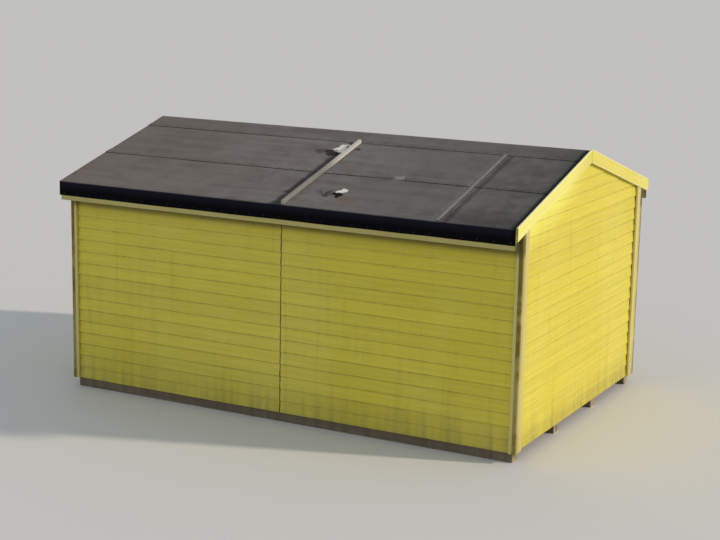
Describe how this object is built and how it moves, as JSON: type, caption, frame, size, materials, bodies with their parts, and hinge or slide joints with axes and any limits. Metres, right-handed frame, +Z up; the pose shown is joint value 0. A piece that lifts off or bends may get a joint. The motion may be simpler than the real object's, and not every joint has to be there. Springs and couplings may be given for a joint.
{
  "type": "beach hut",
  "caption": "Yellow boarded timber beach hut with a low felted apex roof, barge boards, corner boards and plain double doors, standing on bearers.",
  "frame": {"origin": "on the ground at the centre of the plan", "axes": "+Z up, +Y along the hut from the doors to the plain back gable, +X to the side wall that the picture shows"},
  "size_m": [3.4, 4.698, 2.5347],
  "materials": {
    "wall_paint": "yellow gloss paint on overlapping boards, weathered to satin",
    "trim_paint": "bright yellow gloss paint",
    "corner_paint": "cream yellow gloss paint",
    "roof_felt": "grey black mineral roofing felt, matt and sun-bleached",
    "batten_paint": "weathered pale timber",
    "bare_timber": "bare softwood, unpainted",
    "black_iron": "black painted iron, satin"
  },
  "bodies": {
    "root": {"bearers": "bare_timber", "floor_joists": "bare_timber", "floor_boards": "bare_timber", "right_wall_frame": "bare_timber", "left_wall_frame": "bare_timber", "back_wall_frame": "bare_timber", "front_wall_frame": "bare_timber", "right_wall_front_panel": "wall_paint", "right_wall_back_panel": "wall_paint", "left_wall_front_panel": "wall_paint", "left_wall_back_panel": "wall_paint", "back_wall": "wall_paint", "front_wall_left": "wall_paint", "front_wall_right": "wall_paint", "front_wall_over_door": "wall_paint", "front_wall_under_door": "wall_paint", "front_left_corner_board": "corner_paint", "front_right_corner_board": "corner_paint", "back_left_corner_board": "corner_paint", "back_right_corner_board": "corner_paint", "door_frame": "trim_paint", "door_sill": "trim_paint", "left_door": "wall_paint", "right_door": "wall_paint", "door_hinges": "black_iron", "door_hasp": "black_iron", "ridge_beam": "bare_timber", "purlins": "bare_timber", "roof_truss": "bare_timber", "roof_right_front_panel": "bare_timber", "roof_right_back_panel": "bare_timber", "roof_left_front_panel": "bare_timber", "roof_left_back_panel": "bare_timber", "right_fascia": "corner_paint", "left_fascia": "corner_paint", "front_right_barge_board": "trim_paint", "front_left_barge_board": "trim_paint", "back_right_barge_board": "trim_paint", "back_left_barge_board": "trim_paint", "right_roof_felt": "roof_felt", "left_roof_felt": "roof_felt", "ridge_felt": "roof_felt", "right_roof_battens": "batten_paint", "left_roof_battens": "batten_paint"}
  },
  "joints": []
}
